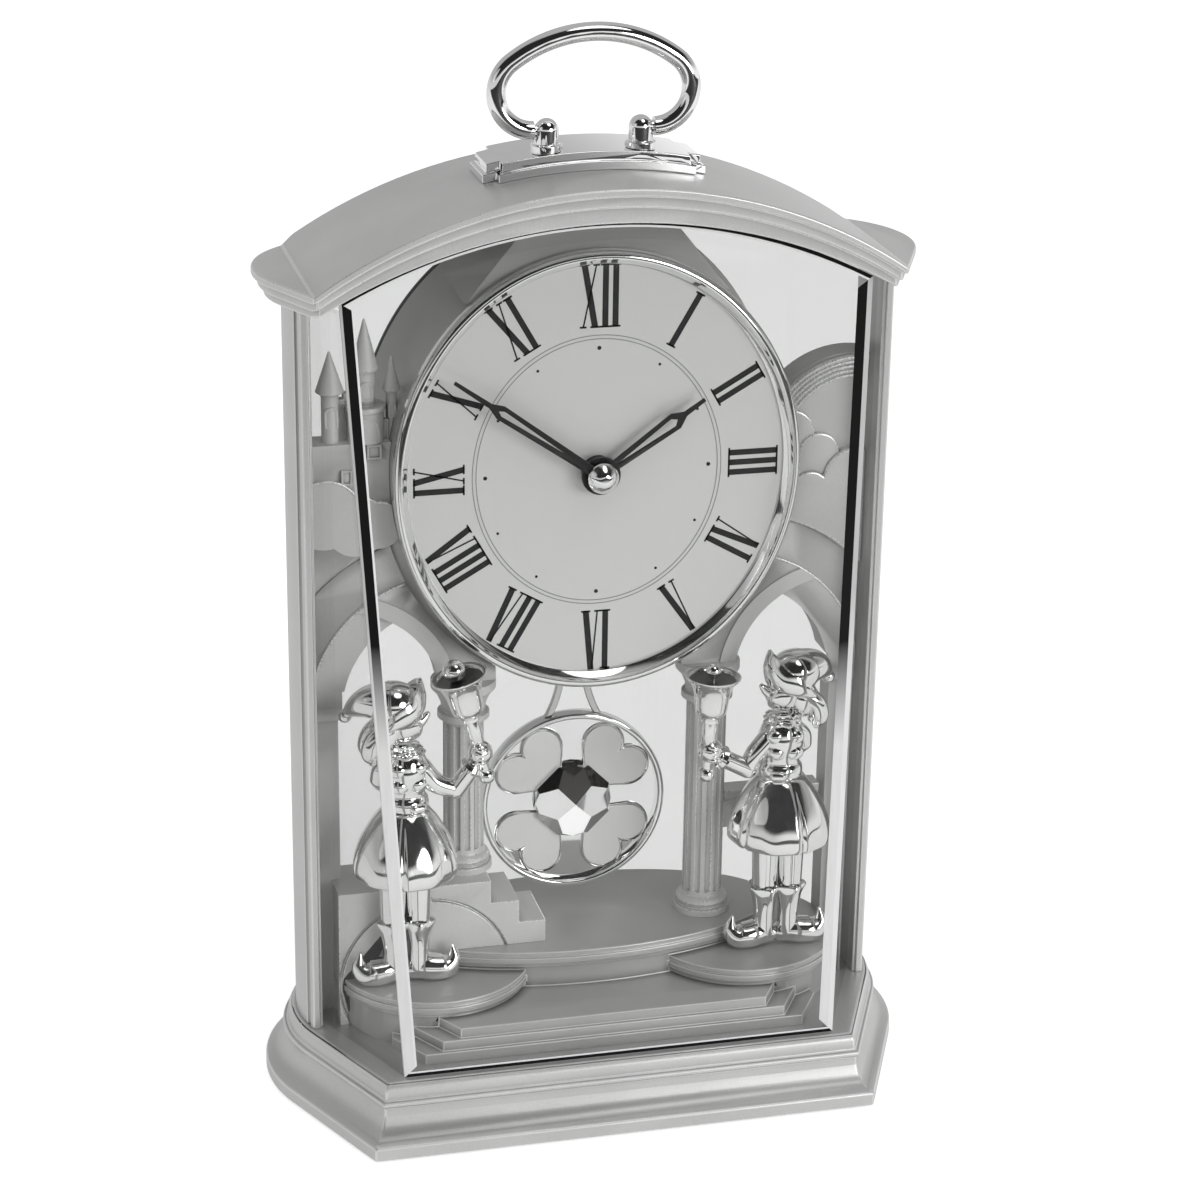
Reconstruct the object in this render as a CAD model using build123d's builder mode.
# Silver table clock: a moulded base and an arched roof with a carrying handle, an oval dial on a drum,
# a swinging pendulum and two bell ringers on a stage behind glass.
# Millimetres, +Z up, front towards -Y, origin on the floor under the middle of the base.

import math
import os
from build123d import *

os.makedirs("parts", exist_ok=True)

# Fits and common thicknesses
seat_gap = 0.05
side_gap = 0.15
running_gap = 0.06
wall = 2.0
stand = (Align.CENTER, Align.CENTER, Align.MIN)

# Base
side_angle = 24.5
base_front_half = 58.6
base_front_y = -37.0
base_lobe_radius = 36.0
base_lobe_y = 9.0
base_back_y = base_lobe_y + base_lobe_radius * 7 / 9
base_bottom_z = 0.6
base_top_z = 16.7
base_band_top_z = 3.8
base_cove_top_z = 11.4
base_cove_depth = 4.9
base_bead_inset = 5.3
base_rim_inset = 6.6
base_wall = 3.0
plate_z = 1.0
plate_thickness = 2.0
foot_radius = 6.0
foot_x = 52.0
foot_y = 24.0
screw_head_radius = 2.4
screw_shank_radius = 1.2

# Levels: the roof and the scenery's upper half are placed from the middle of the dial
dial_z = 147.2
dial_to_eave = 41.3
eave_rise = 18.1
fascia_height = 6.0
fascia_apex_height = 8.1
eave_z = dial_z + dial_to_eave
eave_apex_z = eave_z + eave_rise
roof_corner_z = eave_z + fascia_height
roof_apex_z = eave_apex_z + fascia_apex_height

# Glass
glass_thickness = 2.5
glass_foot_y = -30.3
glass_foot_half = 50.4
glass_head_y = -10.0
glass_head_half = 59.2
glass_tuck = 1.4
glass_head_z = eave_z + glass_tuck
side_pane_x = 63.2
back_pane_thickness = 2.0
back_pane_foot_y = 34.9
back_pane_head_y = 31.6
back_pane_half = 52.5

# Roof
roof_front_half = 65.4
roof_front_y = -13.9
roof_back_y = 33.6
roof_lobe_radius = 25.0
roof_lobe_y = 12.0
roof_top_band = 1.7
roof_mid_band = 2.2
roof_step = 1.3

# Handle
hinge_y = 9.0
hinge_height = 8.2
hinge_z = roof_apex_z + hinge_height
post_x = 10.5
post_radius = 2.65
post_top_z = hinge_z + post_radius
plate_half = 25.0
plate_front_y = 4.2
plate_back_y = 24.0
plate_step = 2.0
plate_inset = 1.0
plate_notch = 3.0
bail_tube_radius = 2.1
bail_half = 21.7
bail_height = 21.0
bail_top_z = hinge_z + bail_height
bail_pin_radius = 1.3

# Dial and drum
dial_y = 1.3
dial_thickness = 0.8
bezel_half_width = 46.5
bezel_half_height = 51.0
bezel_width = 3.4
bezel_front_y = -1.8
drum_half_width = 45.9
drum_half_height = 50.4
drum_back_y = 29.0
drum_flare = 3.0
drum_flare_y = 16.0
neck_top_half = 15.0
neck_foot_half = 30.0
neck_gap = 1.2
neck_top_z = eave_apex_z - neck_gap
neck_height = 18.4
neck_foot_z = neck_top_z - neck_height
slot_half = 11.0
slot_front_y = 18.2
slot_back_y = 26.2
drum_screw_x = 36.0
drum_screw_rise = 18.0
drum_screw_spots = [(way * drum_screw_x, dial_z + side * drum_screw_rise) for way in (-1, 1) for side in (-1,
                                                                                                          1)]

# Hands and motion work
minute_angle = 305.5
hour_angle = 55.5
minute_length = 41.0
hour_length = 28.6
hand_thickness = 0.5
hand_root = 1.05
hand_arm = 1.0
hand_tip = 0.6
hour_loop = (4.4, 20.6)
hour_spread = 2.05
minute_loop = (10.5, 28.5)
minute_spread = 1.65
minute_hand_y = -3.4
hour_hand_y = -1.9
bush_radius = 3.6
hour_pipe_radius = 2.5
cannon_radius = 1.3
press_fit = 0.02
module_minute = 0.25
module_hour = 0.24
gear_thickness = 1.0
train_centre = 6.0
hour_wheel_y = 15.6
minute_wheel_y = 17.1
pivot_radius = 0.6

# Movement
movement_half = 28.0
movement_front_y = 12.6
movement_split_y = 20.5
movement_back_y = 28.4
case_wall = 1.3
cell_radius = 7.1
cell_length = 50.5
cell_z = dial_z - 19.4
cell_y = 21.2
board_y = 24.6
board_z = dial_z + 17
coil_flange = 4.0
coil_y = movement_front_y + case_wall + coil_flange + seat_gap
knob_shaft_radius = 1.2
knob_radius = 5.0

# Pendulum
pendulum_y = 22.2
pendulum_z = 58.5
disc_radius = 22.3
disc_front_y = 19.9
disc_back_y = 24.3
pivot_drop = 35.2
pivot_z = dial_z - pivot_drop
pin_radius = 0.8

# Stage
step_z = [24.1, 21.7, 19.3]
step_y = [-22.5, -23.4, -24.3]
step_half = [36.1, 40.4, 44.6]
pedestal_x = 37.3
pedestal_y = 5.5
pedestal_radius = 23.0
pedestal_z = 28.4
dais_z = 33.2
dais_y = 13.0
dais_half_width = 47.0
dais_half_depth = 21.0
stair_y = -1.3
stair_depth = 16.0
stair_top_z = 50.0
stair_rise = 5.6
stair_left_x = -60.3
stair_x = [-11.6, -17.9, -24.6]
blind_arch_x = -40.0
blind_arch_z = 26.5
blind_arch_radius = 20.4
column_x = 29.0
column_y = 9.0
column_radius = 4.7
column_drop = 50.2
column_top_z = dial_z - column_drop
arch_y = 7.3
arch_depth = 7.5
arch_foot_x = 34.8
arch_jamb_x = 57.4
arch_apex_x = 45.6
arch_rise = 15.7
arch_impost = 4.0
arch_radius = 24.0
arm_grow = 7.4
arm_proud = 1.5
rib_grow = 3.7
hill_grow = 17.0
arch_foot_z = column_top_z
arch_apex_z = arch_foot_z + arch_rise
arch_impost_z = arch_foot_z - arch_impost
pillar_inner_x = 64.3
pillar_set_in = 7.3
pillar_radius = base_lobe_radius - pillar_set_in
pillar_front_y = -1.9
pillar_back_y = 16.5
pillar_notch = 0.7
edge_x = pillar_inner_x - side_gap

# Bell ringers
ringer_y = -4.7
ringer_height = 74.8
ringer_left_x = -45.3
ringer_right_x = 43.4

sine = math.sin(math.radians(side_angle))
cosine = math.cos(math.radians(side_angle))


def facing(y):
    # Upright drawing plane at depth y: its own x is X, its own y is Z, and it faces the front.
    return Plane((0, y, 0), x_dir=(1, 0, 0), z_dir=(0, -1, 0))


def lobe_centre_x(front_half, front_y, lobe_radius, lobe_y):
    return front_half + ((lobe_y - front_y) * sine - lobe_radius) / cosine


def plan_outline(front_half, front_y, lobe_radius, lobe_y, back_y, inset):
    # Straight front, straight slanting sides, round rear lobes and a flat back.
    centre_x = lobe_centre_x(front_half, front_y, lobe_radius, lobe_y)
    radius = lobe_radius - inset
    corner = (front_half - inset * (1 - sine) / cosine, front_y + inset)
    tangent = (centre_x + radius * cosine, lobe_y - radius * sine)
    middle = (centre_x + radius * math.cos(0.3), lobe_y + radius * math.sin(0.3))
    rear = (centre_x + math.sqrt(radius ** 2 - (back_y - lobe_y) ** 2), back_y)
    with BuildLine() as outline:
        Line((-corner[0], corner[1]), corner)
        Line(corner, tangent)
        ThreePointArc(tangent, middle, rear)
        Line(rear, (-rear[0], rear[1]))
        ThreePointArc((-rear[0], rear[1]), (-middle[0], middle[1]), (-tangent[0], tangent[1]))
        Line((-tangent[0], tangent[1]), (-corner[0], corner[1]))
    make_face(outline.edges())


def base_outline(inset, back_inset=0):
    plan_outline(base_front_half, base_front_y, base_lobe_radius, base_lobe_y, base_back_y - back_inset,
                 inset)


def arch_band(top_corner, top_apex, low_corner, low_apex):
    # Upright section between two arches that run out level beyond the front corners.
    reach = 1.3 * roof_front_half
    with BuildLine() as outline:
        Line((-reach, top_corner), (-roof_front_half, top_corner))
        ThreePointArc((-roof_front_half, top_corner), (0, top_apex), (roof_front_half, top_corner))
        Line((roof_front_half, top_corner), (reach, top_corner))
        Line((reach, top_corner), (reach, low_corner))
        Line((reach, low_corner), (roof_front_half, low_corner))
        ThreePointArc((roof_front_half, low_corner), (0, low_apex), (-roof_front_half, low_corner))
        Line((-roof_front_half, low_corner), (-reach, low_corner))
        Line((-reach, low_corner), (-reach, top_corner))
    make_face(outline.edges())


# Base: a hollow moulding with a plain band, a cove, a step and a bead
cove_steps = 5
base_profile = [(base_bottom_z, 0.0), (base_band_top_z, 0.0), (base_band_top_z + 0.5, 0.8)]
for k in range(1, cove_steps + 1):
    turn = math.radians(90 * k / cove_steps)
    base_profile.append((base_cove_top_z - (base_cove_top_z - base_band_top_z - 0.5) * math.cos(turn),
                         0.8 + (base_cove_depth - 0.8) * math.sin(turn)))
base_profile.append((base_cove_top_z + 0.2, base_cove_depth - 0.7))
base_profile.append((base_cove_top_z + 1.2, base_cove_depth - 0.7))
base_profile.append((base_cove_top_z + 1.4, base_bead_inset))
bead_low_z = base_cove_top_z + 2.2
for k in range(0, 4):
    turn = math.radians(30 * k)
    base_profile.append((bead_low_z + (base_top_z - bead_low_z) * math.sin(turn),
                         base_rim_inset - (base_rim_inset - base_bead_inset) * math.cos(turn)))

with BuildPart() as base_plinth:
    for height, inset in base_profile:
        with BuildSketch(Plane.XY.offset(height)):
            base_outline(inset)
    loft(ruled=True)
    with BuildSketch(Plane.XY.offset(base_bottom_z)):
        base_outline(base_wall, base_wall)
    extrude(amount=base_band_top_z - base_bottom_z, mode=Mode.SUBTRACT)
    with BuildSketch(Plane.XY.offset(base_band_top_z)):
        base_outline(base_rim_inset + wall / 2, base_wall)
    extrude(amount=base_top_z - wall - base_band_top_z, mode=Mode.SUBTRACT)
    with GridLocations(2 * foot_x - 30, 2 * foot_y, 2, 2):
        with Locations((0, 0, plate_z + plate_thickness)):
            Cylinder(3, base_top_z - wall - plate_z - plate_thickness + seat_gap,
                     align=stand)
        with Locations((0, 0, plate_z)):
            Cylinder(screw_shank_radius + seat_gap, 11, mode=Mode.SUBTRACT,
                     align=stand)

with BuildPart() as base_plate:
    with BuildSketch(Plane.XY.offset(plate_z)):
        base_outline(base_wall + side_gap, base_wall + side_gap)
    extrude(amount=plate_thickness - seat_gap)
    with GridLocations(2 * foot_x - 30, 2 * foot_y, 2, 2):
        Cylinder(screw_shank_radius + seat_gap, 10, mode=Mode.SUBTRACT)

with BuildPart() as base_screws:
    with GridLocations(2 * foot_x - 30, 2 * foot_y, 2, 2):
        with Locations((0, 0, base_bottom_z - 0.2)):
            Cylinder(screw_head_radius, plate_z - base_bottom_z + 0.2, align=stand)
            Cylinder(screw_shank_radius, 9, align=stand)

with BuildPart() as rubber_feet:
    with Locations((-foot_x, foot_y), (foot_x, foot_y), (4 - foot_x, -foot_y), (foot_x - 4, -foot_y)):
        Cylinder(foot_radius, plate_z, align=stand)

# Stage: three low steps with slanting ends, two round pedestals and an oval dais
def ringed(outline, low, top):
    # Step with a beaded edge; outline draws it, wider or narrower by a margin.
    for margin, drop in ((-1.2, 3.8), (-0.4, 2.8), (0.0, 1.5), (-0.6, 1.0), (-0.2, 0.0)):
        with BuildSketch(Plane.XY.offset(low)) as section:
            outline(margin)
        extrude(section.sketch, amount=top - drop - low)
        low = top - drop


def stage_body(grow):
    def pedestals(margin):
        with Locations((-pedestal_x, pedestal_y), (pedestal_x, pedestal_y)):
            Circle(pedestal_radius + margin + grow)

    def dais(margin):
        with Locations((0, dais_y)):
            Ellipse(dais_half_width + margin + grow, dais_half_depth + margin + grow)

    with BuildPart() as body:
        for level, nose, half in zip(step_z, step_y, step_half):
            with BuildSketch(Plane.XY.offset(base_top_z)):
                with BuildLine():
                    Polyline((-half - grow, nose - grow), (half + grow, nose - grow), (half + 6, nose + 10),
                             (half - 4, 20), (4 - half, 20), (-half - 6, nose + 10), close=True)
                make_face()
            extrude(amount=level - base_top_z)
        ringed(pedestals, base_top_z, pedestal_z)
        ringed(dais, base_top_z, dais_z)
    return body.part


with BuildPart() as stage:
    add(stage_body(0))
stage_room = stage_body(side_gap)

# Stair wall on the left, with a round blind arch on its front
with BuildPart() as stair_wall:
    with BuildSketch(facing(stair_y)):
        with BuildLine():
            Polyline((stair_left_x, base_top_z), (stair_left_x, stair_top_z),
                     (stair_x[2], stair_top_z), (stair_x[2], stair_top_z - stair_rise),
                     (stair_x[1], stair_top_z - stair_rise), (stair_x[1], stair_top_z - 2 * stair_rise),
                     (stair_x[0], stair_top_z - 2 * stair_rise), (stair_x[0], base_top_z), close=True)
        make_face()
    extrude(amount=-stair_depth)
    with BuildSketch(facing(stair_y)):
        with Locations((blind_arch_x, blind_arch_z)):
            Circle(blind_arch_radius)
            Circle(blind_arch_radius - 0.7, mode=Mode.SUBTRACT)
    extrude(amount=-0.8, mode=Mode.SUBTRACT)
    add(stage_room, mode=Mode.SUBTRACT)


def column(foot_z):
    # Fluted shaft between a ringed base and a flaring capital.
    x_foot = column_radius
    with BuildSketch(Plane.XZ) as section:
        with BuildLine() as outline:
            Polyline((0, foot_z), (x_foot + 1.9, foot_z), (x_foot + 1.9, foot_z + 1.6),
                     (x_foot + 1.1, foot_z + 1.8),
                     (x_foot + 1.1, foot_z + 2.4), (x_foot + 1.5, foot_z + 3.0), (x_foot + 1.1,
                                                                                  foot_z + 3.8),
                     (x_foot + 0.2, foot_z + 4.4), (x_foot, foot_z + 5.2), (x_foot, column_top_z - 9.6),
                     (x_foot + 1.3, column_top_z - 9.2), (x_foot + 1.3, column_top_z - 7.8),
                     (x_foot + 0.3, column_top_z - 7.4), (x_foot + 0.6, column_top_z - 5.5),
                     (x_foot + 1.5, column_top_z - 3.4), (x_foot + 2.8, column_top_z - 2.0),
                     (x_foot + 2.8, column_top_z), (0, column_top_z), close=True)
        make_face(outline.edges())
    revolve(section.sketch, axis=Axis.Z)
    with BuildSketch(Plane.XY.offset(foot_z + 5.6)) as section:
        with PolarLocations(column_radius + 0.25, 12):
            Circle(0.75)
    extrude(section.sketch, amount=column_top_z - 10.4 - foot_z - 5.6, mode=Mode.SUBTRACT)


with BuildPart() as column_upright:
    column(stair_top_z)
with BuildPart() as column_left:
    with Locations((-column_x, column_y)):
        add(column_upright.part)
with BuildPart() as column_tall:
    column(dais_z)
with BuildPart() as column_right:
    with Locations((column_x, column_y)):
        add(column_tall.part)

# Rail between the right column and the right pilaster
rail_z = 53.0
with BuildPart() as side_rail:
    with BuildSketch(Plane.YZ.offset(column_x)):
        with BuildLine():
            Polyline((column_y + 0.4, rail_z), (column_y + 4.4, rail_z), (column_y + 4.4, rail_z + 10),
                     (column_y - 0.8, rail_z + 10), (column_y - 0.8, rail_z + 8), (column_y + 0.4,
                                                                                   rail_z + 6.8),
                     close=True)
        make_face()
    extrude(amount=arch_jamb_x - column_x - side_gap)
    with Locations((column_x, column_y, rail_z)):
        Cylinder(column_radius + side_gap, 40, mode=Mode.SUBTRACT)


def pointed_arch():
    # Pointed opening between the capital and the pilaster.
    with BuildLine() as outline:
        Line((arch_foot_x, arch_foot_z), (arch_foot_x, arch_impost_z))
        Line((arch_foot_x, arch_impost_z), (arch_jamb_x, arch_impost_z))
        RadiusArc((arch_jamb_x, arch_impost_z), (arch_apex_x, arch_apex_z), -arch_radius)
        RadiusArc((arch_apex_x, arch_apex_z), (arch_foot_x, arch_foot_z), -arch_radius)
    make_face(outline.edges())


def arc_middle(start, end, radius):
    # Centre of the arc of this radius between two points, on its left side.
    half_x, half_z = (end[0] - start[0]) / 2, (end[1] - start[1]) / 2
    reach = math.hypot(half_x, half_z)
    back = math.sqrt(radius ** 2 - reach ** 2) / reach
    return start[0] + half_x - half_z * back, start[1] + half_z + half_x * back


right_arm = arc_middle((arch_jamb_x, arch_impost_z), (arch_apex_x, arch_apex_z), arch_radius)
left_arm = arc_middle((arch_apex_x, arch_apex_z), (arch_foot_x, arch_foot_z), arch_radius)


def disc(middle, grow, mode=Mode.ADD):
    with Locations(middle):
        Circle(arch_radius + grow, mode=mode)


def wall_field():
    # Keeps a moulding on the wall: clear of the drum, the pillar and the jamb.
    with Locations((0, dial_z)):
        Ellipse(drum_half_width + 2.5, drum_half_height + 2.5, mode=Mode.SUBTRACT)
    with Locations((column_x - 7, arch_impost_z)):
        Rectangle(edge_x - column_x + 7, 60, align=(Align.MIN, Align.MIN), mode=Mode.INTERSECT)
    with Locations((0, arch_foot_z)):
        Rectangle(arch_jamb_x, 20, align=(Align.MIN, Align.MAX), mode=Mode.SUBTRACT)


def arch_wall(top):
    # Right-hand wall over the arch, closed above by the outline that top draws.
    with BuildSketch(facing(arch_y)) as section:
        top()
        with Locations((0, dial_z)):
            Ellipse(drum_half_width + side_gap, drum_half_height + side_gap, mode=Mode.SUBTRACT)
    extrude(section.sketch, amount=-arch_depth)
    for grow, rise in ((hill_grow, 0.5), (arm_grow, 1.0)):
        with BuildSketch(facing(arch_y - rise)) as section:
            disc(right_arm, grow)
            wall_field()
        extrude(section.sketch, amount=-rise)
    with BuildSketch(facing(arch_y - arm_proud)) as section:
        disc(left_arm, rib_grow)
        disc(left_arm, 0, Mode.SUBTRACT)
        disc(right_arm, arm_grow, Mode.INTERSECT)
        wall_field()
    extrude(section.sketch, amount=-arm_proud)
    with BuildSketch(facing(arch_y - 2)) as section:
        pointed_arch()
    extrude(section.sketch, amount=-arch_depth - 4, mode=Mode.SUBTRACT)
    with Locations((arch_jamb_x, arch_y - 0.8, arch_impost_z - 3)):
        Box(edge_x - arch_jamb_x, arch_depth, 3, align=(Align.MIN, Align.MIN, Align.MIN))
    with Locations((arch_jamb_x + 0.9, arch_y, base_top_z)):
        Box(edge_x - arch_jamb_x - 0.9, arch_depth - 1, arch_impost_z - 3 - base_top_z,
            align=(Align.MIN, Align.MIN, Align.MIN))


castle_wall_z = dial_z + 7.8
rainbow_x = 61.0
rainbow_z = dial_z + 0.8
rainbow_radius = 21.6
rainbow_ring = 1.15


def castle_top():
    with BuildLine() as outline:
        Polyline((column_x - 7, arch_foot_z), (edge_x, arch_foot_z), (edge_x, castle_wall_z),
                 (38, castle_wall_z),
                 (26, dial_z - 27.2), close=True)
    make_face(outline.edges())


def rainbow_top():
    rise = math.sqrt(rainbow_radius ** 2 - (edge_x - rainbow_x) ** 2)
    with BuildLine() as outline:
        Polyline((column_x - 7, arch_foot_z), (edge_x, arch_foot_z), (edge_x, rainbow_z + rise))
        ThreePointArc((edge_x, rainbow_z + rise),
                      (rainbow_x - rainbow_radius * math.sin(0.6),
                       rainbow_z + rainbow_radius * math.cos(0.6)),
                      (rainbow_x - rainbow_radius, rainbow_z))
        Polyline((rainbow_x - rainbow_radius, rainbow_z), (26, dial_z - 27.2), (column_x - 7, arch_foot_z))
    make_face(outline.edges())


with BuildPart() as wall_under_castle:
    arch_wall(castle_top)
    for x, drop, radius in ((60.5, -16, 8), (53.5, -19, 7), (48.5, -19, 5.5)):
        with BuildSketch(facing(arch_y - 0.7)):
            with Locations((x, castle_wall_z + drop)):
                Circle(radius)
            with Locations((edge_x, castle_wall_z)):
                Rectangle(40, 60, align=(Align.MIN, Align.CENTER), mode=Mode.SUBTRACT)
            with Locations((0, dial_z)):
                Ellipse(drum_half_width + side_gap, drum_half_height + side_gap, mode=Mode.SUBTRACT)
        extrude(amount=-0.7 - wall)
    for x, drop, wide, tall in ((49.4, -1.8, 3.2, 3.3), (55.6, -7.4, 2.4, 3.4)):
        with Locations((x, arch_y, castle_wall_z + drop)):
            Box(wide, 1.8, tall)
        with Locations((x, arch_y - 0.9, castle_wall_z + drop)):
            Box(wide - 0.9, 0.7, tall - 0.9, mode=Mode.SUBTRACT)
with BuildPart() as arch_wall_left:
    add(mirror(wall_under_castle.part, about=Plane.YZ))
    add(stage_room, mode=Mode.SUBTRACT)
    add(stair_wall.part, mode=Mode.SUBTRACT)

with BuildPart() as arch_wall_right:
    arch_wall(rainbow_top)
    add(stage_room, mode=Mode.SUBTRACT)

# Castle on the left wall: a round keep, a toothed backing wall and three towers with pointed roofs
castle_y = arch_y + 3.2
keep_x = -50.7
keep_radius = 4.2
keep_tall = 8.2
with BuildPart() as castle:
    with Locations((keep_x - 4, castle_y + 2, castle_wall_z)):
        Box(8, 2.4, 9.2, align=stand)
    with Locations((keep_x + 3, castle_y, castle_wall_z)):
        Box(6, 1.6, 4.6, align=stand)
    with Locations((keep_x - 4, castle_y + 2, castle_wall_z + 9.2)):
        with GridLocations(2.4, 1, 3, 1):
            Box(1.2, 2.4, 1.3, align=stand)
    with Locations((keep_x, castle_y, castle_wall_z)):
        Cylinder(keep_radius, keep_tall, align=stand)
    with Locations((keep_x, castle_y, castle_wall_z + keep_tall - 1.1)):
        Cylinder(keep_radius + 0.4, 1.1, align=stand)
    for x, eave, tip, radius, spread in ((-58.5, 11.5, 20.6, 1.95, 3.2), (keep_x, 16.3, 27.6, 2.3, 3.1),
                                         (-44.8, 11.4, 18.8, 1.25, 2.05)):
        with Locations((x, castle_y, castle_wall_z)):
            Cylinder(radius, eave, align=stand)
        with Locations((x, castle_y, castle_wall_z + eave - 0.7)):
            Cone(radius + 0.25, spread, 0.7, align=stand)
        with Locations((x, castle_y, castle_wall_z + eave)):
            Cone(spread, 0.2, tip - eave, align=stand)
    with BuildSketch(facing(arch_y - wall)):
        with Locations((0, dial_z)):
            Ellipse(drum_half_width + side_gap, drum_half_height + side_gap)
    extrude(amount=-arch_depth - wall, mode=Mode.SUBTRACT)

# Rainbow and clouds on the right wall
with BuildPart() as rainbow:
    for ring in range(5):
        outer = rainbow_radius - side_gap - ring * rainbow_ring
        with BuildSketch(facing(arch_y)):
            with Locations((rainbow_x, rainbow_z)):
                Circle(outer)
                Circle(outer - rainbow_ring, mode=Mode.SUBTRACT)
            with Locations((edge_x, rainbow_z)):
                Rectangle(40, 80, align=(Align.MIN, Align.CENTER), mode=Mode.SUBTRACT)
            with Locations((0, rainbow_z + 3)):
                Rectangle(200, 100, align=(Align.CENTER, Align.MAX), mode=Mode.SUBTRACT)
            with Locations((0, dial_z)):
                Ellipse(drum_half_width + side_gap, drum_half_height + side_gap, mode=Mode.SUBTRACT)
        extrude(amount=1.9 - 0.33 * ring)

with BuildPart() as clouds:
    for x, drop, radius, proud in ((46.3, 3.1, 5.8, 1.0), (53.1, -1.7, 4.9, 1.5), (61.3, -7.8, 7.1, 2.0),
                                   (51.1, -10.3, 4.6, 2.5)):
        with BuildSketch(facing(arch_y)):
            with Locations((x, rainbow_z + drop)):
                Circle(radius)
            with Locations((edge_x, rainbow_z)):
                Rectangle(40, 60, align=(Align.MIN, Align.CENTER), mode=Mode.SUBTRACT)
            with Locations((0, dial_z)):
                Ellipse(drum_half_width + side_gap, drum_half_height + side_gap, mode=Mode.SUBTRACT)
        extrude(amount=proud)
    add(rainbow.part, mode=Mode.SUBTRACT)

# Corner pillars: rounded on the outside, with a flute and a notched front corner
lobe_x = lobe_centre_x(base_front_half, base_front_y, base_lobe_radius, base_lobe_y)
pillar_far_x = lobe_x + 2 * pillar_radius
with BuildPart() as pillar_right:
    with BuildSketch(Plane.XY.offset(base_top_z)):
        with Locations((lobe_x, base_lobe_y)):
            Circle(pillar_radius)
        with BuildLine():
            Polyline((pillar_inner_x, pillar_front_y + pillar_notch),
                     (pillar_inner_x + pillar_notch, pillar_front_y + pillar_notch),
                     (pillar_inner_x + pillar_notch, pillar_front_y), (pillar_far_x, pillar_front_y),
                     (pillar_far_x, pillar_back_y), (pillar_inner_x, pillar_back_y), close=True)
        make_face(mode=Mode.INTERSECT)
        for turn in (-17.5, 5.0):
            with Locations((lobe_x + pillar_radius * math.cos(math.radians(turn)),
                            base_lobe_y + pillar_radius * math.sin(math.radians(turn)))):
                Circle(pillar_notch, mode=Mode.SUBTRACT)
    extrude(amount=eave_z - base_top_z)
with BuildPart() as pillar_left:
    add(mirror(pillar_right.part, about=Plane.YZ))

# Roof: three stepped layers over an arch
roof_layers = [(0.0, roof_corner_z, roof_apex_z, roof_corner_z - roof_top_band, roof_apex_z - roof_top_band),
               (roof_step, roof_corner_z - roof_top_band, roof_apex_z - roof_top_band,
                roof_corner_z - roof_top_band - roof_mid_band,
                roof_apex_z - roof_top_band - 1.2 * roof_mid_band),
               (2 * roof_step, roof_corner_z - roof_top_band - roof_mid_band,
                roof_apex_z - roof_top_band - 1.2 * roof_mid_band, eave_z, eave_apex_z)]


def roof_layer(inset, top_corner, top_apex, low_corner, low_apex):
    with BuildPart() as layer:
        with BuildSketch(Plane.XY.offset(eave_z - 10)):
            plan_outline(roof_front_half, roof_front_y, roof_lobe_radius, roof_lobe_y, roof_back_y, inset)
        extrude(amount=60)
        with BuildSketch(facing(0)):
            arch_band(top_corner, top_apex, low_corner, low_apex)
        extrude(amount=60, both=True, mode=Mode.INTERSECT)
    return layer.part


with BuildPart() as roof_cap:
    for layer in roof_layers:
        add(roof_layer(*layer))

# Handle: a stepped chrome plate, two posts and a bail
def handle_step(inset, low, high):
    with BuildPart() as step:
        with BuildSketch(Plane.XY.offset(roof_corner_z)):
            with Locations((0, (plate_front_y + plate_back_y) / 2)):
                Rectangle(2 * (plate_half - inset), plate_back_y - plate_front_y - 2 * inset)
                with GridLocations(2 * (plate_half - inset), plate_back_y - plate_front_y - 2 * inset, 2, 2):
                    Rectangle(2 * plate_notch, 2 * plate_notch, mode=Mode.SUBTRACT)
        extrude(amount=40)
        with BuildSketch(facing(0)):
            arch_band(roof_corner_z + high, roof_apex_z + high, roof_corner_z + low, roof_apex_z + low)
        extrude(amount=60, both=True, mode=Mode.INTERSECT)
    return step.part


with BuildPart() as handle_plate:
    add(handle_step(0.0, seat_gap, plate_step))
    add(handle_step(plate_inset, plate_step, 2 * plate_step))

post_foot_z = roof_apex_z + plate_step
with BuildPart() as handle_posts:
    with Locations((-post_x, hinge_y, post_foot_z), (post_x, hinge_y, post_foot_z)):
        Cylinder(post_radius, post_top_z - post_radius - post_foot_z, align=stand)
        Cylinder(post_radius + 0.8, plate_step + 1.2, align=stand)
    with Locations((-post_x, hinge_y, post_top_z - post_radius),
                   (post_x, hinge_y, post_top_z - post_radius)):
        Sphere(post_radius)
    add(handle_plate.part.moved(Location((0, 0, seat_gap))), mode=Mode.SUBTRACT)
    for sign in (-1, 1):
        with Locations(Plane((sign * (post_x - 1.4), hinge_y, hinge_z), z_dir=(sign, 0, 0))):
            Cylinder(bail_pin_radius + running_gap, 10, mode=Mode.SUBTRACT, align=stand)

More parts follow.
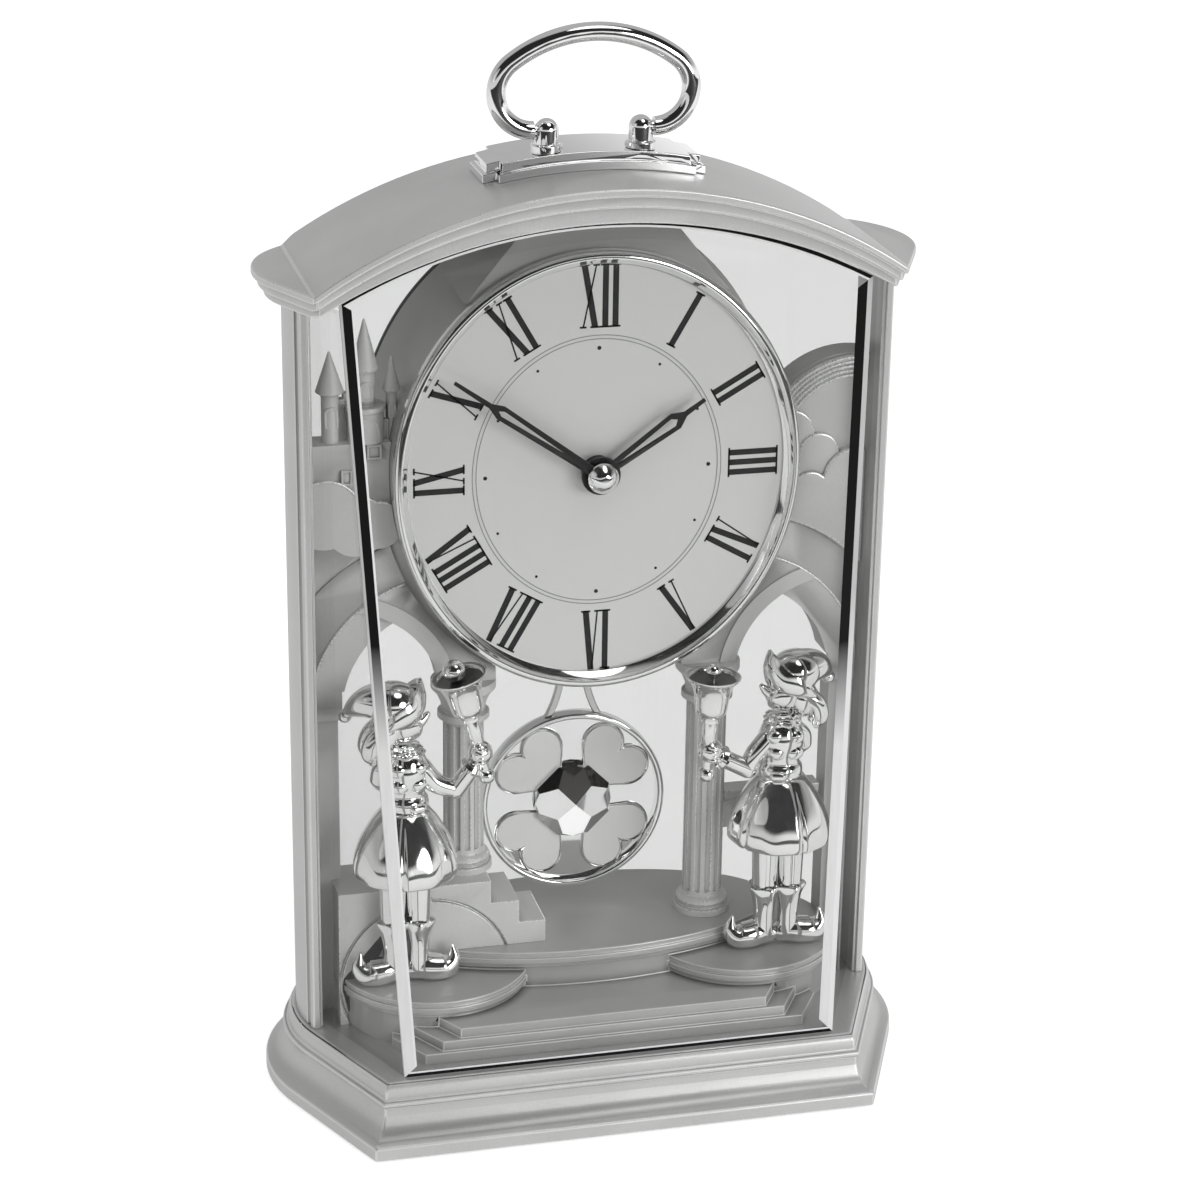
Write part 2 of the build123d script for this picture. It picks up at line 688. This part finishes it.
# The bail: two tight corner arcs and one wide arc over the top, tangent to each other, with pins in the
# posts
corner_x = post_x + post_radius + 0.3
corner_radius = bail_half - corner_x
corner_z = hinge_z + corner_radius
rise = bail_top_z - corner_z
top_radius = (corner_x ** 2 + rise ** 2 - corner_radius ** 2) / (2 * (rise - corner_radius))
lean = math.atan2(top_radius - rise, corner_x)
join = (corner_x + corner_radius * math.cos(lean), corner_z + corner_radius * math.sin(lean))
with BuildPart() as bail_handle:
    with BuildLine(facing(hinge_y)):
        ThreePointArc((corner_x, hinge_z), (bail_half, corner_z), join)
        ThreePointArc(join, (0, bail_top_z), (-join[0], join[1]))
        ThreePointArc((-join[0], join[1]), (-bail_half, corner_z), (-corner_x, hinge_z))
    with BuildSketch(Plane((corner_x, hinge_y, hinge_z), z_dir=(1, 0, 0))):
        Circle(bail_tube_radius)
    sweep()
    for sign in (-1, 1):
        with Locations(Plane((sign * (post_x - 1.0), hinge_y, hinge_z), z_dir=(sign, 0, 0))):
            Cylinder(bail_pin_radius, corner_x - post_x + 1.0, align=stand)

# Glass: a leaning front pane with an arched top, two upright side panes and a clear back cover, bent
# forward at both sides to the pillars and open round the drum
def arch_height(x, corner, apex):
    sag = apex - corner
    radius = (roof_front_half ** 2 + sag ** 2) / (2 * sag)
    return apex - radius + math.sqrt(radius ** 2 - x ** 2)


def under_eave(x):
    return arch_height(x, eave_z, eave_apex_z) - 2 * side_gap


slope = (glass_head_y - glass_foot_y) / (glass_head_z - base_top_z)
tilt = math.atan(slope)
front_plane = Plane((0, glass_foot_y, base_top_z), x_dir=(1, 0, 0),
                    z_dir=(0, -math.cos(tilt), math.sin(tilt)))
glass_foot = glass_thickness * math.sin(tilt) + seat_gap


def up_glass(z):
    return (z - base_top_z) / math.cos(tilt)


with BuildPart() as front_glass:
    with BuildSketch(front_plane):
        head = (glass_head_half, up_glass(under_eave(glass_head_half)))
        with BuildLine():
            Polyline((-head[0], head[1]), (-glass_foot_half, glass_foot), (glass_foot_half, glass_foot),
                     head)
            ThreePointArc(head, (0, up_glass(under_eave(0))), (-head[0], head[1]))
        make_face()
    extrude(amount=-glass_thickness)


def side_front(z):
    # Distance along a side pane at which it meets the back of the front pane.
    return (glass_foot_y + slope * (z - base_top_z) + glass_thickness / math.cos(tilt) + side_gap) / cosine


side_plane = Plane((side_pane_x, 0, 0), x_dir=(sine, cosine, 0), z_dir=(cosine, -sine, 0))
side_rear = 2.1
side_head = under_eave(side_pane_x + sine * side_rear)
with BuildPart() as side_glass_right:
    with BuildSketch(side_plane):
        with BuildLine():
            Polyline((side_rear, base_top_z + seat_gap), (side_rear, side_head),
                     (side_front(side_head), side_head),
                     (side_front(base_top_z), base_top_z + seat_gap), close=True)
        make_face()
    extrude(amount=-wall)
with BuildPart() as side_glass_left:
    add(mirror(side_glass_right.part, about=Plane.YZ))

wing_x = pillar_inner_x + pillar_notch
wing_y = pillar_back_y + side_gap
with BuildPart() as back_pane:
    for z, back in ((base_top_z + seat_gap, back_pane_foot_y), (eave_apex_z, back_pane_head_y)):
        with BuildSketch(Plane.XY.offset(z)):
            with BuildLine():
                Polyline((-wing_x, wing_y), (-back_pane_half, back), (back_pane_half, back),
                         (wing_x, wing_y),
                         (wing_x + 1.2 * back_pane_thickness, wing_y),
                         (back_pane_half + 0.5 * back_pane_thickness, back + back_pane_thickness),
                         (-back_pane_half - 0.5 * back_pane_thickness, back + back_pane_thickness),
                         (-wing_x - 1.2 * back_pane_thickness, wing_y), close=True)
            make_face()
    loft(ruled=True)
    with BuildSketch(facing(0)):
        with BuildLine():
            Polyline((-roof_front_half, under_eave(roof_front_half)),
                     (-roof_front_half - 9, eave_z - 2 * side_gap),
                     (-roof_front_half - 9, base_top_z), (roof_front_half + 9, base_top_z),
                     (roof_front_half + 9, eave_z - 2 * side_gap), (roof_front_half,
                                                                    under_eave(roof_front_half)))
            ThreePointArc((roof_front_half, under_eave(roof_front_half)), (0, under_eave(0)),
                          (-roof_front_half, under_eave(roof_front_half)))
        make_face()
    extrude(amount=60, both=True, mode=Mode.INTERSECT)
    with BuildSketch(facing(0)):
        with Locations((0, dial_z)):
            Ellipse(drum_half_width - 5, drum_half_height - 5)
    extrude(amount=60, both=True, mode=Mode.SUBTRACT)


def rod(x, z, radius, front, back, mode=Mode.ADD):
    # Round bar along Y between two depths.
    with Locations(facing(back) * Location((x, z, 0))):
        Cylinder(radius, back - front, align=stand, mode=mode)


def block(x_low, x_high, y_low, y_high, z_low, z_high, mode=Mode.ADD):
    with Locations((x_low, y_low, z_low)):
        Box(x_high - x_low, y_high - y_low, z_high - z_low, align=(Align.MIN, Align.MIN, Align.MIN),
            mode=mode)


# Bezel, dial and drum
def oval(inset):
    with Locations((0, dial_z)):
        Ellipse(bezel_half_width - inset, bezel_half_height - inset)


with BuildPart() as bezel:
    for y, inset in ((dial_y - seat_gap, 0.0), (bezel_front_y + 1.5, 0.0), (bezel_front_y + 0.5, 0.4),
                     (bezel_front_y, 1.3)):
        with BuildSketch(facing(y)):
            oval(inset)
    loft(ruled=True)
    for y, inset in ((dial_y + 1, bezel_width), (bezel_front_y + 1.0, bezel_width),
                     (bezel_front_y - 0.6, bezel_width - 1.2)):
        with BuildSketch(facing(y)):
            oval(inset)
    loft(ruled=True, mode=Mode.SUBTRACT)

with BuildPart() as dial_plate:
    with BuildSketch(facing(dial_y)):
        oval(0.3)
        with Locations((0, dial_z)):
            Circle(bush_radius + side_gap, mode=Mode.SUBTRACT)
    extrude(amount=-dial_thickness)

drum_front_y = dial_y + dial_thickness + seat_gap
post_offset = movement_half - 6


def drum_outline(inset):
    with Locations((0, dial_z)):
        Ellipse(drum_half_width - inset, drum_half_height - inset)
    with BuildLine() as outline:
        Polyline((-neck_foot_half + 1.4 * inset, neck_foot_z - inset),
                 (neck_foot_half - 1.4 * inset, neck_foot_z - inset),
                 (neck_top_half - 0.5 * inset, neck_top_z - inset), (-neck_top_half + 0.5 * inset,
                                                                     neck_top_z - inset),
                 close=True)
    make_face(outline.edges())


with BuildPart() as drum:
    with BuildSketch(facing(drum_front_y)):
        drum_outline(0)
    extrude(amount=drum_front_y - drum_back_y)
    for y, flare in ((drum_flare_y, 0), (drum_back_y, drum_flare)):
        with BuildSketch(facing(y)):
            with Locations((0, dial_z)):
                Ellipse(drum_half_width + flare, drum_half_height + flare)
    loft(ruled=True)
    with BuildSketch(facing(drum_front_y + wall)):
        drum_outline(wall)
    extrude(amount=drum_front_y + wall - drum_back_y, mode=Mode.SUBTRACT)
    rod(0, dial_z, bush_radius + side_gap, dial_y, drum_back_y, Mode.SUBTRACT)
    for x in (-post_offset, post_offset):
        for z in (dial_z - post_offset, dial_z + post_offset):
            rod(x, z, 3, drum_front_y + 1, movement_front_y - seat_gap)
    block(-slot_half, slot_half, slot_front_y, slot_back_y, dial_z - drum_half_height - 5,
          dial_z - drum_half_height + 12, Mode.SUBTRACT)

with BuildPart() as drum_back:
    with BuildSketch(facing(drum_back_y + seat_gap)):
        drum_outline(0)
        with Locations((0, dial_z)):
            Ellipse(drum_half_width + drum_flare, drum_half_height + drum_flare)
            Rectangle(2 * movement_half + 1, 2 * movement_half + 1, mode=Mode.SUBTRACT)
        with Locations(*drum_screw_spots):
            Circle(screw_shank_radius + seat_gap, mode=Mode.SUBTRACT)
    extrude(amount=-wall)
    for x, z in drum_screw_spots:
        rod(x, z, screw_head_radius + seat_gap, drum_back_y + 0.9, drum_back_y + wall + 1, Mode.SUBTRACT)

with BuildPart() as drum_screws:
    for x, z in drum_screw_spots:
        rod(x, z, screw_head_radius, drum_back_y + 0.95, drum_back_y + wall)
        rod(x, z, screw_shank_radius, drum_back_y - 4, drum_back_y + 1.2)

# Movement: two case halves, cell and contacts, circuit board and coil
with BuildPart() as movement_case:
    block(-movement_half, movement_half, movement_front_y, movement_split_y, dial_z - movement_half,
          dial_z + movement_half)
    block(case_wall - movement_half, movement_half - case_wall, movement_front_y + case_wall,
          movement_split_y + 1,
          dial_z - movement_half + case_wall, dial_z + movement_half - case_wall, Mode.SUBTRACT)
    rod(0, dial_z, bush_radius, 0.6, movement_front_y + 0.5)
    rod(0, dial_z, hour_pipe_radius + running_gap, 0, movement_split_y, Mode.SUBTRACT)
    rod(train_centre, dial_z, pivot_radius, movement_front_y + 1, minute_wheel_y + 1.2)
    rod(2 * train_centre, dial_z, 1.6, movement_front_y + 1, movement_front_y + 2.2)
    rod(2 * train_centre, dial_z, pivot_radius + running_gap, movement_front_y + 0.5, movement_split_y,
        Mode.SUBTRACT)

with BuildPart() as movement_cover:
    block(-movement_half, movement_half, movement_split_y + seat_gap, movement_back_y,
          dial_z - movement_half,
          dial_z + movement_half)
    block(case_wall - movement_half, movement_half - case_wall, movement_split_y - 1,
          movement_back_y - case_wall,
          dial_z - movement_half + case_wall, dial_z + movement_half - case_wall, Mode.SUBTRACT)
    block(-cell_length / 2 - 1, cell_length / 2 + 1, movement_back_y - 3, movement_back_y + 1,
          cell_z - cell_radius - 0.3,
          cell_z + cell_radius + 0.3, Mode.SUBTRACT)
    rod(0, dial_z, 2, minute_wheel_y + 2.4, movement_back_y - 1)
    rod(0, dial_z, pivot_radius + running_gap, minute_wheel_y, movement_back_y - 3, Mode.SUBTRACT)
    rod(2 * train_centre, dial_z, knob_shaft_radius + running_gap, movement_split_y, movement_back_y + 1,
        Mode.SUBTRACT)
    for x in (-10, 10):
        rod(x, board_z, 1.5, board_y + 1 + seat_gap, movement_back_y - 1)

with BuildPart() as battery_cell:
    with Locations(Plane((-cell_length / 2, cell_y, cell_z), z_dir=(1, 0, 0))):
        Cylinder(cell_radius, cell_length - 1.2, align=stand)
        Cylinder(cell_radius - 4.4, cell_length, align=stand)

with BuildPart() as battery_contacts:
    for low in (-cell_length / 2 - seat_gap - 0.4, cell_length / 2 + seat_gap):
        block(low, low + 0.4, movement_front_y + case_wall + seat_gap, cell_y + 4, cell_z - 4, cell_z + 4)

with BuildPart() as circuit_board:
    block(-15, 15, board_y, board_y + 1, board_z - 7, board_z + 7)
    block(-9, -3, board_y - 1.4, board_y, board_z - 3, board_z + 3)
    with Locations(Plane((3, board_y - 1.2, board_z), z_dir=(1, 0, 0))):
        Cylinder(1.3, 7, align=stand)

with BuildPart() as coil:
    with Locations(Plane((-20, coil_y, board_z), z_dir=(1, 0, 0))):
        Cylinder(2.8, 18, align=stand)
    block(-20.6, -19.6, coil_y - coil_flange, coil_y + coil_flange, board_z - coil_flange,
          board_z + coil_flange)
    block(-2.4, -1.4, coil_y - coil_flange, coil_y + coil_flange, board_z - coil_flange,
          board_z + coil_flange)


# Motion work: cannon pinion, minute wheel with its pinion, hour wheel and setting knob
def toothed(x, teeth, module, phase, middle_y):
    # Spur wheel with straight flanks, narrow enough to run free.
    pitch_radius = teeth * module / 2
    pitch_angle = 360 / teeth
    corners = []
    for k in range(teeth):
        for share, height in ((-0.24, -1.2), (-0.10, 0.85), (0.10, 0.85), (0.24, -1.2)):
            turn = math.radians(phase + (k + share) * pitch_angle)
            reach = pitch_radius + height * module
            corners.append((x + reach * math.cos(turn), dial_z + reach * math.sin(turn)))
    with BuildSketch(facing(middle_y - gear_thickness / 2)) as section:
        with BuildLine() as outline:
            Polyline(*corners, close=True)
        make_face(outline.edges())
    extrude(section.sketch, amount=-gear_thickness)


with BuildPart() as cannon_pinion:
    rod(0, dial_z, cannon_radius, minute_hand_y - 0.6, minute_wheel_y - 0.5)
    rod(0, dial_z, pivot_radius, minute_wheel_y - 1, minute_wheel_y + 4.5)
    toothed(0, 12, module_minute, 0, minute_wheel_y)

with BuildPart() as minute_wheel:
    toothed(train_centre, 36, module_minute, 5, minute_wheel_y)
    toothed(train_centre, 10, module_hour, 0, hour_wheel_y)
    rod(train_centre, dial_z, 0.85, hour_wheel_y, minute_wheel_y)
    rod(train_centre, dial_z, pivot_radius + running_gap, 0, movement_back_y, Mode.SUBTRACT)

with BuildPart() as hour_wheel:
    toothed(0, 40, module_hour, 4.5, hour_wheel_y)
    rod(0, dial_z, hour_pipe_radius, hour_hand_y - 0.5, hour_wheel_y)
    rod(0, dial_z, cannon_radius + running_gap, minute_hand_y, movement_back_y, Mode.SUBTRACT)

with BuildPart() as setting_knob:
    toothed(2 * train_centre, 12, module_minute, 0, minute_wheel_y)
    rod(2 * train_centre, dial_z, pivot_radius, movement_front_y + 0.8, minute_wheel_y + 0.5)
    rod(2 * train_centre, dial_z, knob_shaft_radius, minute_wheel_y + 0.5, movement_back_y + 1)
    with BuildSketch(facing(movement_back_y + 0.4)):
        with Locations((2 * train_centre, dial_z)):
            Circle(knob_radius)
            with PolarLocations(knob_radius, 16):
                Circle(0.45, mode=Mode.SUBTRACT)
    extrude(amount=-3.4)


# Hands with long open loops that widen outwards, and the hub cap
def hand(y, length, boss, bore, angle, loop, spread):
    turn = math.radians(90 - angle)
    plane = Plane((0, y + hand_thickness / 2, dial_z), x_dir=(math.cos(turn), 0, math.sin(turn)),
                  z_dir=(0, -1, 0))
    start, end = loop
    with BuildSketch(plane) as section:
        with BuildLine() as outline:
            Polyline((0, -hand_root), (end, -spread), (end + 2.6, -hand_tip), (length, -0.7 * hand_tip),
                     (length, 0.7 * hand_tip), (end + 2.6, hand_tip), (end, spread), (0,
                                                                                      hand_root), close=True)
        make_face(outline.edges())
        with BuildLine() as outline:
            Polyline((start, 0), (end - 0.7, hand_arm - spread), (end + 0.5, 0),
                     (end - 0.7, spread - hand_arm),
                     close=True)
        make_face(outline.edges(), mode=Mode.SUBTRACT)
    extrude(section.sketch, amount=hand_thickness)
    rod(0, dial_z, boss, y - 0.5, y + 0.5)
    rod(0, dial_z, bore, y - 3, y + 3, Mode.SUBTRACT)


with BuildPart() as hour_hand:
    hand(hour_hand_y, hour_length, 4.4, hour_pipe_radius + press_fit, hour_angle, hour_loop, hour_spread)
with BuildPart() as minute_hand:
    hand(minute_hand_y, minute_length, 3.3, cannon_radius + press_fit, minute_angle, minute_loop,
         minute_spread)
with BuildPart() as hub_cap:
    with Locations(facing(minute_hand_y - 0.6) * Location((0, dial_z, 0))):
        Cone(3.5, 1.2, 2.4, align=stand)

# Pendulum: drive, pivot pin, wishbone hanger, ring, petals, crystal and magnet
with BuildPart() as pendulum_drive:
    block(-15, 15, slot_front_y - 3, drum_back_y, pivot_z - 9, pivot_z + 6.6)
    block(2 - slot_half, slot_half - 2, slot_front_y + 0.4, slot_back_y - 0.4, pivot_z - 10, pivot_z + 4.4,
          Mode.SUBTRACT)
    rod(0, pivot_z, pin_radius + press_fit, slot_front_y - 2, slot_back_y + 2, Mode.SUBTRACT)

with BuildPart() as pendulum_pin:
    rod(0, pivot_z, pin_radius, slot_front_y - 1.8, slot_back_y + 1.8)

leg_z = pendulum_z + 1.5 * disc_radius
leg_foot_z = pendulum_z + disc_radius - 2.8
with BuildPart() as pendulum_hanger:
    with BuildSketch(facing(pendulum_y - 0.8)):
        with Locations((0, (leg_z + pivot_z) / 2 - 1)):
            Rectangle(7, pivot_z - leg_z)
        for sign in (-1, 1):
            with BuildLine():
                Line((sign * 2.0, leg_z), (sign * 3.5, leg_z))
                ThreePointArc((sign * 3.5, leg_z), (sign * 4.6, leg_z - 6.4), (sign * 8.0, leg_foot_z))
                Line((sign * 8.0, leg_foot_z), (sign * 6.2, leg_foot_z))
                ThreePointArc((sign * 6.2, leg_foot_z), (sign * 2.9, leg_z - 6.4), (sign * 2.0, leg_z))
            make_face()
    extrude(amount=-1.6)
    rod(0, pivot_z, 3, pendulum_y - 1.5, pendulum_y + 1.5)
    rod(0, pivot_z, pin_radius + running_gap, pendulum_y - 5, pendulum_y + 5, Mode.SUBTRACT)
    rod(0, pendulum_z, disc_radius + seat_gap, disc_front_y - 3, disc_back_y + 3, Mode.SUBTRACT)

with BuildPart() as pendulum_magnet:
    rod(0, pivot_z - 7, 2.4, pendulum_y + 0.8 + seat_gap, pendulum_y + 2.6)

plate_front = disc_front_y + 2.2
with BuildPart() as pendulum_ring:
    rod(0, pendulum_z, disc_radius, disc_front_y, disc_back_y)
    rod(0, pendulum_z, disc_radius - 1.5, disc_front_y - 1, plate_front, Mode.SUBTRACT)
    rod(0, pendulum_z, disc_radius - 1.5, plate_front + 1.2, disc_back_y + 1, Mode.SUBTRACT)

with BuildPart() as pendulum_petals:
    for quarter in range(4):
        with BuildSketch(facing(plate_front - seat_gap) * Location((0, pendulum_z, 0),
                                                                   (0, 0, 45 + 90 * quarter))):
            with Locations((14.9, 4.3), (14.9, -4.3)):
                Circle(5.2)
            with BuildLine():
                Polyline((8.8, 3.6), (8.8, -3.6), (11.4, -8.2), (15, -4), (15, 4), (11.4, 8.2), close=True)
            make_face()
        extrude(amount=1.0)

with BuildPart() as pendulum_crystal:
    for y, size in ((plate_front - seat_gap, 9.3), (plate_front - 1.8, 9.3), (plate_front - 4.6, 2.4)):
        with BuildSketch(facing(y)):
            with Locations((0, pendulum_z)):
                RegularPolygon(size, 8, rotation=22.5)
    loft(ruled=True)


# Bell ringers
def limb(start, end, thick, thin):
    # Tapering round limb between two points.
    reach = Vector(*end) - Vector(*start)
    with Locations(Plane(start, z_dir=reach)):
        Cone(thick, thin, reach.length, align=stand)


def bulb(x, y, z, radius):
    with Locations((x, y, z)):
        Sphere(radius)


def turned(x, y, profile):
    # Solid of revolution about an upright axis through x, y.
    with BuildSketch(Plane((x, y, 0), x_dir=(1, 0, 0), z_dir=(0, -1, 0))) as section:
        with BuildLine() as outline:
            Polyline(*profile, close=True)
        make_face(outline.edges())
    revolve(section.sketch, axis=Axis((x, y, 0), (0, 0, 1)))


drawn_height = 74.8


def ringer(inward, elbow, hand_spot, bell_foot, bell_rim):
    # Bell ringer about its own middle, soles at zero, face turned inward, drawn to the height above.
    bell_y = -2.1
    for way in (-1, 1):
        ankle = way * 4.2
        toe = way * 10.4
        limb((ankle, 0, 2.5), (toe, 0, 2.0), 2.5, 1.95)
        limb((toe, 0, 2.0), (way * 12.6, 0, 5.0), 1.95, 0.7)
        bulb(ankle, 0, 2.5, 2.5)
        limb((ankle, 0, 2.5), (way * 4.8, 0, 15.0), 2.2, 2.9)
        limb((way * 4.8, 0, 14.0), (way * 4.9, 0, 15.6), 3.2, 3.05)
        limb((way * 4.7, 0, 14.6), (way * 3.8, 0, 25.6), 2.3, 2.7)
    turned(0, 0,
           ((0, 24.0), (11.9, 24.0), (12.1, 25.0), (9.0, 30.2), (6.6, 36.0), (4.9, 40.6), (4.9, 41.8),
            (0, 41.8)))
    turned(inward * 0.6, 0,
           ((0, 41.2), (5.2, 41.2), (5.2, 44.4), (4.7, 44.8), (5.6, 49.1), (5.7, 51.6), (4.8, 55.1),
                             (2.4, 57.2), (0, 57.2)))
    turned(0, 0, ((0, 55.8), (4.2, 55.8), (4.9, 57.0), (4.2, 58.2), (2.6, 60.6), (0, 60.6)))
    head = -inward * 0.8
    tail = (head - inward * 11.4, 6, 65.0)
    bulb(head, 0, 64.2, 5.2)
    limb((head + inward * 4.0, 0, 64.8), (head + inward * 6.2, 0, 64.8), 1.4, 0.6)
    bulb(head - inward * 4.6, 0, 60.8, 4.9)
    turned(head - inward * 1.6, 0,
           ((0, 67.2), (6.6, 67.2), (6.8, 69.0), (5.6, 72.0), (3.6, 74.0), (0, drawn_height)))
    limb((head + inward * 1.0, 0, 69.2), (head + inward * 3.6, 0, 74.6), 3.0, 0.8)
    limb((head - inward * 5.0, 0, 70.6), tail, 3.4, 1.3)
    bulb(*tail, 1.7)
    limb((inward * 5.0, 0, 52.6), elbow, 2.5, 2.1)
    bulb(*elbow, 2.2)
    limb(elbow, hand_spot, 2.2, 1.6)
    bulb(*hand_spot, 2.2)
    far_elbow = (-inward * 6.0, -2.5, 46.6)
    far_hand = (inward * 0.5, -6.2, 49.1)
    limb((-inward * 4.4, 0, 53.0), far_elbow, 2.4, 2.0)
    bulb(*far_elbow, 2.1)
    limb(far_elbow, far_hand, 2.0, 1.5)
    bulb(*far_hand, 1.9)
    axis = Vector(bell_rim[0] - bell_foot[0], 0, bell_rim[1] - bell_foot[1])
    up = axis.normalized()
    bell_plane = Plane((bell_foot[0], bell_y, bell_foot[1]), x_dir=(up.Z, 0, -up.X), z_dir=(0, -1, 0))
    tall = axis.length
    with BuildSketch(bell_plane) as section:
        with BuildLine() as outline:
            Polyline((0, 0), (1.0, 0), (1.0, tall - 15.5), (2.4, tall - 15.0), (3.6, tall - 12.5),
                     (4.0, tall - 8), (4.9, tall - 4), (6.6, tall), (5.8, tall), (4.0, tall - 4),
                     (3.0, tall - 8), (0.9, tall - 12), (0.9, tall - 2), (0, tall - 2), close=True)
        make_face(outline.edges())
    revolve(section.sketch, axis=Axis((bell_foot[0], bell_y, bell_foot[1]), (up.X, 0, up.Z)))
    bulb(bell_foot[0], bell_y, bell_foot[1], 1.7)
    bulb(bell_foot[0] + up.X * (tall - 0.6), bell_y, bell_foot[1] + up.Z * (tall - 0.6), 1.8)


with BuildPart() as left_ringer:
    ringer(1, (11.4, -0.6, 44.2), (16.7, -1.8, 55.0), (18.1, 50.6), (11.6, 76.6))
with BuildPart() as figure_left:
    with Locations((ringer_left_x, ringer_y, pedestal_z)):
        add(left_ringer.part.scale(ringer_height / drawn_height))
with BuildPart() as right_ringer:
    ringer(-1, (-8.4, -0.6, 43.5), (-17.8, -1.8, 50.8), (-18.7, 45.8), (-17.9, 71.1))
with BuildPart() as figure_right:
    with Locations((ringer_right_x, ringer_y, pedestal_z)):
        add(right_ringer.part.scale(ringer_height / drawn_height))

for node_name, node in (("base_plinth", base_plinth), ("base_plate", base_plate),
                        ("base_screws", base_screws),
                        ("rubber_feet", rubber_feet), ("stage", stage), ("stair_wall", stair_wall),
                        ("column_left", column_left), ("column_right", column_right), ("side_rail",
                                                                                       side_rail),
                        ("arch_wall_left", arch_wall_left), ("arch_wall_right", arch_wall_right), ("castle",
                                                                                                   castle),
                        ("rainbow", rainbow), ("clouds", clouds), ("pillar_left", pillar_left),
                        ("pillar_right", pillar_right), ("roof_cap", roof_cap), ("handle_plate",
                                                                                 handle_plate),
                        ("handle_posts", handle_posts), ("bail_handle", bail_handle), ("front_glass",
                                                                                       front_glass),
                        ("side_glass_left", side_glass_left), ("side_glass_right", side_glass_right),
                        ("back_pane", back_pane), ("bezel", bezel), ("dial_plate", dial_plate), ("drum",
                                                                                                 drum),
                        ("drum_back", drum_back), ("drum_screws", drum_screws), ("movement_case",
                                                                                 movement_case),
                        ("movement_cover", movement_cover), ("battery_cell", battery_cell),
                        ("battery_contacts", battery_contacts), ("circuit_board", circuit_board), ("coil",
                                                                                                   coil),
                        ("cannon_pinion", cannon_pinion), ("minute_wheel", minute_wheel), ("hour_wheel",
                                                                                           hour_wheel),
                        ("setting_knob", setting_knob), ("hour_hand", hour_hand), ("minute_hand",
                                                                                   minute_hand),
                        ("hub_cap", hub_cap), ("pendulum_drive", pendulum_drive), ("pendulum_pin",
                                                                                   pendulum_pin),
                        ("pendulum_hanger", pendulum_hanger), ("pendulum_magnet", pendulum_magnet),
                        ("pendulum_ring", pendulum_ring), ("pendulum_petals", pendulum_petals),
                        ("pendulum_crystal", pendulum_crystal), ("figure_left", figure_left),
                        ("figure_right", figure_right)):
    node.part.label = node_name
    export_step(node.part, "parts/" + node_name + ".step")
